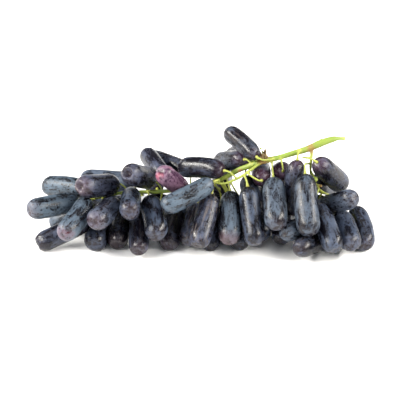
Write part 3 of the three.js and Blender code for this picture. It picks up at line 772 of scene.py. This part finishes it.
# %% [markdown]
# Natural surfaces are sums: a little of this noise, less that one, more where two skins touch. A few
# recipes cover them. The first starts a material. One makes noise patterns from a table in millimetres,
# one adds up weighted terms, and one lays coats of colour over each other, the way wax lies on skin. The
# last ends a material with its shader.

# %% Recipes for natural surfaces
def empty_tree(name):
    """A new material and its emptied node tree."""
    material = bpy.data.materials.new(name)
    material.use_nodes = True
    material.node_tree.nodes.clear()
    return material, material.node_tree


def patterns(tree, where, table):
    """Noise on a place in millimetres, by name.

    A row of the table has the width of a spot in millimetres, the detail, the roughness, the scale along
    z, where a number below 1 draws the spots out, and the distortion.
    """
    found = {}
    for name, (spot, detail, roughness, stretch, distortion) in table.items():
        drawn_out = node(tree, "Mapping", {"Vector": where, "Scale": (1, 1, stretch)})
        found[name] = node(tree, "TexNoise", {
            "Vector": drawn_out, "Scale": 1 / spot, "Detail": detail, "Roughness": roughness,
            "Distortion": distortion,
        })
    return found


def added_up(tree, start, *terms):
    """The start plus every term, where a term is an amount and what it is multiplied by."""
    for amount, value in terms:
        start = node(tree, "Math", {0: value, 1: amount, 2: start}, operation="MULTIPLY_ADD")
    return start


def coated(tree, colour, *coats):
    """The colour under its coats, where a coat is a strength, where it lies from 0 to 1, and a colour."""
    for strength, where, coat in coats:
        share = node(tree, "Math", {0: where, 1: strength}, operation="MULTIPLY")
        colour = node(tree, "Mix", {0: share, 6: colour, 7: coat}, **COLOUR_MIX)
    return colour


def finish_surface(tree, inputs):
    """Ends a material: the shader with its inputs, and the output."""
    node(tree, "OutputMaterial", {"Surface": node(tree, "BsdfPrincipled", inputs)})


print("recipes:", ", ".join(recipe.__name__ for recipe in (patterns, added_up, coated)))

# %% [markdown]
# A ripe grape skin is almost black, a deep blue to violet. On it lies bloom, a white wax in grains far too
# fine to see, which scatters light: it makes the skin grey-blue and matt where it is thick, and lets the
# dark shine through where it is thin or rubbed. A picture of a skin could be wrapped round each berry, but
# it would repeat and stretch. So the patterns are worked out in space, on each berry's own place, and one
# number drives the finish: the bloom at a point. That is what the berry wears, swung up and down by noise,
# less what scratches, stripes, specks and touching neighbours took away.

# %% Bloom on a skin
# Wax lies thicker over patches of 5 to 10 mm and in spots of 2 to 5 mm, specks are 1 to 2 mm wide, and a
# rubbed stripe is about 5 mm wide. The wax's grain, some micrometres, and scratches, 0.3 mm wide, are too
# fine to show in this picture, so they are drawn as coarse as they need to show, 0.7 and 1.6 mm.
SKIN_PATTERNS = {
    "clouds": (8.0, 2.0, 0.5, 0.6, 0.0),
    "mottle": (3.6, 5.0, 0.58, 0.45, 1.0),
    "grain": (0.7, 3.0, 0.7, 1.0, 0.0),
    "specks": (1.5, 2.0, 0.6, 0.8, 0.0),
    "scratches": (1.6, 3.0, 0.6, 0.09, 1.2),
    "stripes": (5.5, 3.0, 0.55, 0.16, 0.9),
}
CRISP = {"specks": (0.57, 0.62), "scratches": (0.54, 0.64), "stripes": (0.48, 0.62)}
SWINGS = {"clouds": 1.4, "mottle": 1.9, "grain": 1.4}
STORED = {
    # The third mark is the tip's scar together with painted shade inside its dimple.
    "marks": ("along", "touch", "scar_and_dimple_shade"),
    "dress": ("bloom", "violet", "blush"),
    "flaws": ("spot", "streaks"),
}


def stored_numbers(tree):
    """What a berry's points store, as sockets by name."""
    stored = {"own": node(tree, "Attribute", output="Vector", attribute_name="own_place")}
    # A socket knows its node, and that node has all the other outputs.
    for layer, names in STORED.items():
        colour = node(tree, "Attribute", output="Color", attribute_name=layer)
        stored |= dict(zip(names, node(tree, "SeparateColor", {0: colour}).node.outputs))
    stored["tan"] = node(tree, "Attribute", output="Alpha", attribute_name="dress")
    return stored


def bloom_cover(tree, stored, found):
    """How much of the skin is covered at a point, from 0 to 1: the berry's bloom, swung and worn."""
    no_swing = -0.5 * sum(SWINGS.values())
    swings = [(amount, found[name]) for name, amount in SWINGS.items()]
    swung = added_up(tree, no_swing, (1.0, stored["bloom"]), *swings)
    specks = node(tree, "Math", {0: found["specks"], 1: stored["bloom"]}, operation="MULTIPLY")
    lines = [(-0.26, found["scratches"]), (-0.3, found["stripes"])]
    worn = added_up(tree, swung, *lines, (-0.75, specks), (-0.25, stored["touch"]))
    return node(tree, "MapRange", {"Value": worn, "From Min": 0.0, "From Max": 0.76}, **SMOOTH_STEP)


print("pattern widths in mm:", {name: row[0] for name, row in SKIN_PATTERNS.items()})

# %% [markdown]
# A berry ripens from its tip towards its stem end, so red shows last at the stem end, and a half ripe
# berry is pink all over. Corky tan forms at the tip and in old scratches. Each of these could be a
# material of its own, but they blend into each other on one skin, so they are coats on one colour.

# %% Colours of a skin
BARE_VIOLET, BARE_RED, BARE_PINK = "#100d16", "#38202e", "#3a2438"
WAXY_VIOLET, WAXY_RED, WAXY_PINK = "#4b4d60", "#604a5a", "#7c6074"
# The darkest tip colour paints the flower's scar and the shade inside the dimple round it.
TAN_TIP, CORK, FLUSH, SCAR_AND_DIMPLE_SHADE = "#5e4a50", "#6c625e", "#8e2e3e", "#21161a"


def skin_colour(tree, stored, found, bloom, wax, deep):
    """Bare skin under its wax; over both the tan tip, cork, red flush, and scar with painted dimple shade."""
    along, violet, blush = stored["along"], stored["violet"], stored["blush"]
    ripeness = added_up(tree, 0.0, (-1.0, along), (0.8, blush), (0.25, found["clouds"]))
    red = node(tree, "MapRange", {"Value": ripeness, "From Min": 0.08, "From Max": 0.42}, **SMOOTH_STEP)
    pink = node(tree, "MapRange", {"Value": blush, "From Min": 0.7, "From Max": 1.0}, **SMOOTH_STEP)
    end = added_up(tree, along, (0.25, found["mottle"]))
    tip = node(tree, "MapRange", {"Value": end, "From Min": 0.94, "From Max": 1.14}, **SMOOTH_STEP)
    edge = added_up(tree, along, (0.6, found["clouds"]))
    spot = node(tree, "MapRange", {"Value": edge, "From Min": 1.22, "From Max": 1.36}, **SMOOTH_STEP)
    tan = node(tree, "Math", {0: tip, 1: stored["tan"]}, operation="MULTIPLY")
    cork = node(tree, "Math", {0: stored["streaks"], 1: found["scratches"]}, operation="MULTIPLY")
    flush = node(tree, "Math", {0: stored["spot"], 1: spot}, operation="MULTIPLY")
    bare = coated(tree, deep, (1.0, violet, BARE_VIOLET), (0.7, red, BARE_RED), (0.8, pink, BARE_PINK))
    waxy = coated(tree, wax, (1.0, violet, WAXY_VIOLET), (0.5, red, WAXY_RED), (1.0, pink, WAXY_PINK))
    # The last coat paints the scar and the painted shade in the dimple in one dark colour.
    marked = [(0.55, tan, TAN_TIP), (0.4, cork, CORK), (0.5, flush, FLUSH), (0.9, stored["scar_and_dimple_shade"], SCAR_AND_DIMPLE_SHADE)]
    return coated(tree, bare, (1.0, bloom, waxy), *marked)


print("a bare violet skin is", np.round(linear(BARE_VIOLET)[:3], 4))

# %% [markdown]
# Three finishes share this skin. Most berries have a thin bloom and look nearly black, some are thickly
# dusted and look slate blue, and two are half ripe and reddish. Skin is a smooth wet film under dry wax,
# so bare skin is glossy, with a clear highlight, and bloom makes it rougher. Its IOR of 1.45 is that of
# plant wax, and its specular level is a little below the usual 0.5, to match the soft highlights of the
# photograph.

# %% Grape skin with bloom
def grape_skin(name, wax, deep):
    """Waxed grape skin. wax is the colour of thick bloom, deep the colour of bare skin."""
    material, tree = empty_tree(name)
    stored = stored_numbers(tree)
    found = patterns(tree, stored["own"], SKIN_PATTERNS)
    for pattern, (low, high) in CRISP.items():
        limits = {"Value": found[pattern], "From Min": low, "From Max": high}
        found[pattern] = node(tree, "MapRange", limits, **SMOOTH_STEP)
    cover = bloom_cover(tree, stored, found)
    thickness = added_up(tree, 0.12, (0.5, found["clouds"]), (0.6, stored["bloom"]))
    bloom = node(tree, "Math", {0: cover, 1: thickness}, operation="MULTIPLY")
    height = added_up(tree, 0.0, (0.6, found["grain"]), (0.4, cover))
    finish_surface(tree, {
        "Normal": node(tree, "Bump", {"Height": height, "Strength": 0.6, "Distance": 0.16 * MM}),
        "Base Color": skin_colour(tree, stored, found, bloom, wax, deep),
        "Roughness": added_up(tree, 0.26, (0.24, bloom)),
        "IOR": 1.45,
        "Specular IOR Level": 0.34,
    })
    return material


skin_materials = {
    "ripe_skin": grape_skin("grape_skin_thin_bloom", "#414f62", "#05060b"),
    "dusty_skin": grape_skin("grape_skin_thick_bloom", "#505f6c", "#06070c"),
    "blush_skin": grape_skin("grape_skin_half_ripe", "#5c566a", "#180f17"),
}
for piece, berry in zip(skins, berries):
    piece.data.materials.append(skin_materials[slot_of[berry["name"]]])
print("skins:", ", ".join(material.name for material in skin_materials.values()))

# %% [markdown]
# A young stem is fleshy and green, with a thin satin skin that lets a little light in, so its shadows
# stay soft. Small pores dot it, and where it branches or carries a berry it is already corky, brown and
# matt. One green could do from afar, but the change from green to brown is what makes a stem look grown.
# The growth numbers on its points say where each tone lies.

# %% Fresh green stem
# Tone changes over about 6 mm, the skin's grain is 1.2 mm wide and pores are 0.8 mm.
STEM_PATTERNS = {
    "clouds": (6.0, 2.0, 0.5, 1.0, 0.0),
    "grain": (1.2, 4.0, 0.65, 1.0, 0.0),
    "pores": (0.8, 1.0, 0.5, 1.0, 0.0),
}
STALK_GREEN, VEIN_GREEN, YOUNG_GREEN = "#708433", "#8c9744", "#9a9e4b"
WOODY_BROWN, WART, PORE, FRESH_CUT = "#86623a", "#8c7a38", "#86802f", "#bcc67e"


def place_in_mm(tree):
    """The place on the object, in millimetres."""
    where = node(tree, "TexCoord", output="Object")
    return node(tree, "VectorMath", {0: where, "Scale": 1 / MM}, operation="SCALE")


def fresh_stem(name):
    """Green stem tissue: green to yellow by age, brown at joints and seats, with pores."""
    material, tree = empty_tree(name)
    growth = node(tree, "Attribute", output="Color", attribute_name="growth")
    young, woody, warty = node(tree, "SeparateColor", {0: growth}).node.outputs
    cut = node(tree, "Attribute", output="Alpha", attribute_name="growth")
    found = patterns(tree, place_in_mm(tree), STEM_PATTERNS)
    grain = found["grain"]
    dots = {"Value": found["pores"], "From Min": 0.66, "From Max": 0.74}
    pores = node(tree, "MapRange", dots, **SMOOTH_STEP)
    rough = node(tree, "MapRange", {"Value": grain, "From Min": 0.35, "From Max": 0.65}, **SMOOTH_STEP)
    warts = node(tree, "Math", {0: warty, 1: rough}, operation="MULTIPLY")
    veins = added_up(tree, -0.05, (0.5, found["clouds"]))
    age = added_up(tree, -0.15, (0.3, found["clouds"]), (0.9, young))
    bark = added_up(tree, -0.4, (0.8, grain), (1.0, woody))
    brown = node(tree, "MapRange", {"Value": bark, "From Min": 0.25, "From Max": 0.75}, **SMOOTH_STEP)
    green = coated(tree, STALK_GREEN, (1.0, veins, VEIN_GREEN), (1.0, age, YOUNG_GREEN))
    grown = coated(tree, green, (0.85, brown, WOODY_BROWN), (0.8, warts, WART))
    height = added_up(tree, grain, (-0.5, pores))
    finish_surface(tree, {
        "Normal": node(tree, "Bump", {"Height": height, "Strength": 0.5, "Distance": 0.25 * MM}),
        "Base Color": coated(tree, grown, (0.5, pores, PORE), (0.6, cut, FRESH_CUT)),
        "Roughness": added_up(tree, 0.42, (0.25, woody)),
        "IOR": 1.45,
        "Specular IOR Level": 0.4,
        "Subsurface Weight": 0.15,
        "Subsurface Radius": (0.6, 0.8, 0.2),
        "Subsurface Scale": 1 * MM,
    })
    return material


green_stem = fresh_stem("fresh_green_stem")
stem.data.materials.append(green_stem)
trimmings.data.materials.append(green_stem)
print("stem material:", len(green_stem.node_tree.nodes), "nodes")

# %% [markdown]
# A bract is dry dead tissue, brown and matt like a bud scale, with paler fibres. The floor is a sweep of
# white paper: matt, and only just not even. Paper could be a plain white, but a trace of fibre keeps even
# the floor from being one flat colour.

# %% Dry bracts and the paper floor
SCALE_PATTERNS = {"grain": (0.7, 3.0, 0.6, 1.0, 0.0)}  # fibres of about 0.3 mm, drawn 0.7 mm wide
PAPER_PATTERNS = {"clouds": (5.6, 2.0, 0.5, 1.0, 0.0)}  # fibres lie denser and looser over 5 or 6 mm
FLOOR_HALF = 2500


def dry_scale(name):
    """Dry bract: thin, brown and matt, with paler fibres."""
    material, tree = empty_tree(name)
    grain = patterns(tree, place_in_mm(tree), SCALE_PATTERNS)["grain"]
    fibres = node(tree, "MapRange", {"Value": grain, "From Min": 0.35, "From Max": 0.65}, **SMOOTH_STEP)
    colour = coated(tree, "#4a3826", (1.0, fibres, "#a08a5c"))
    bump = node(tree, "Bump", {"Height": grain, "Strength": 0.6, "Distance": 0.2 * MM})
    finish_surface(tree, {"Base Color": colour, "Roughness": 0.8, "Normal": bump})
    return material


def white_paper(name):
    """Matt white paper with a trace of cloudiness."""
    material, tree = empty_tree(name)
    clouds = patterns(tree, place_in_mm(tree), PAPER_PATTERNS)["clouds"]
    colour = coated(tree, "#f2f2f2", (1.0, clouds, "#f6f6f6"))
    finish_surface(tree, {"Base Color": colour, "Roughness": 0.9})
    return material


bracts.data.materials.append(dry_scale("dry_bract"))
floor_corners = FLOOR_HALF * np.array([[-1, -1, 0], [1, -1, 0], [1, 1, 0], [-1, 1, 0]], float)
floor = new_piece("floor", floor_corners, [[0, 1, 2, 3]])
floor.data.materials.append(white_paper("white_paper_sweep"))
print("floor", 2 * FLOOR_HALF * MM, "m wide")

# %% [markdown]
# The camera looks at the bunch from the front, 28 degrees above the table, as the photograph does. A wide
# lens close by would make the near berries too big, so a long lens stands far away. The picture is 400
# pixels wide and shows 0.7 mm a pixel, which fixes the lens. Blender's default view transform greys white
# paper and softens dark tones. The standard one shows colours as they are, so white stays white and the
# skins keep the photograph's contrast.

# %% Camera
ELEVATION = math.radians(28)
PICTURE = 400
MM_PER_PIXEL = 0.7
DISTANCE = 3000
AIM_UP = 21
camera_data = bpy.data.cameras.new("camera")
camera_data.sensor_width = 36
camera_data.lens = camera_data.sensor_width * DISTANCE / (PICTURE * MM_PER_PIXEL)
camera = bpy.data.objects.new("camera", camera_data)
bpy.context.scene.collection.objects.link(camera)
target = place + [0, 0, AIM_UP / math.cos(ELEVATION)]
camera.location = (target + DISTANCE * np.array([0, -math.cos(ELEVATION), math.sin(ELEVATION)])) * MM
camera.rotation_euler = (math.pi / 2 - ELEVATION, 0, 0)
bpy.context.scene.camera = camera
bpy.context.scene.view_settings.view_transform = "Standard"
print("lens", round(camera_data.lens), "mm")

# %% [markdown]
# A berry is a dark mirror under its wax, so the shape of a light is what its highlight shows. Lamps or a
# bright sky would give dots or a grey veil. A long low strip light stands on either side, so that a berry
# carries two long soft highlights, and broad weak ones above, in front and behind fill in.

# %% Lights
def softbox(name, azimuth, elevation, distance, size, power, colour):
    """A rectangular soft light aimed at the bunch. Azimuth 0 is the camera's side, 90 the right.

    Angles are in degrees, the distance and the two sides in metres, and the power in watts.
    """
    data = bpy.data.lights.new(name, "AREA")
    data.shape = "RECTANGLE"
    data.size, data.size_y = size
    data.energy = power
    data.color = linear(colour)[:3]
    light = bpy.data.objects.new(name, data)
    a, e = math.radians(azimuth), math.radians(elevation)
    offset = Vector((math.sin(a) * math.cos(e), -math.cos(a) * math.cos(e), math.sin(e))) * distance
    light.location = Vector(target * MM) + offset
    light.rotation_euler = (-offset).to_track_quat("-Z", "Y").to_euler()
    bpy.context.scene.collection.objects.link(light)
    return light


lights = [
    softbox("left", -78, 32, 1.3, (1.5, 0.17), 54, "#fffcf6"),
    softbox("right", 76, 32, 1.3, (1.5, 0.17), 43, "#fffbf4"),
    softbox("top", 0, 84, 1.6, (1.4, 0.2), 11, "#eef4ff"),
    softbox("front", 0, 34, 1.6, (0.8, 0.4), 4, "#f4f8ff"),
    softbox("back", 180, 60, 1.8, (1.6, 0.5), 3, "#ffffff"),
]
world = bpy.data.worlds.new("studio")
world.use_nodes = True
background = world.node_tree.nodes["Background"]
background.inputs["Color"].default_value = linear("#eef2f8")
background.inputs["Strength"].default_value = 0.14
bpy.context.scene.world = world
print("lights:", ", ".join(light.name for light in lights))

# %% [markdown]
# The last step prints the size of the solids, and hands the scene over.

# %% Print the solids' size and finish
print("solids", np.round(np.array(cad_box) / MM, 1).tolist())
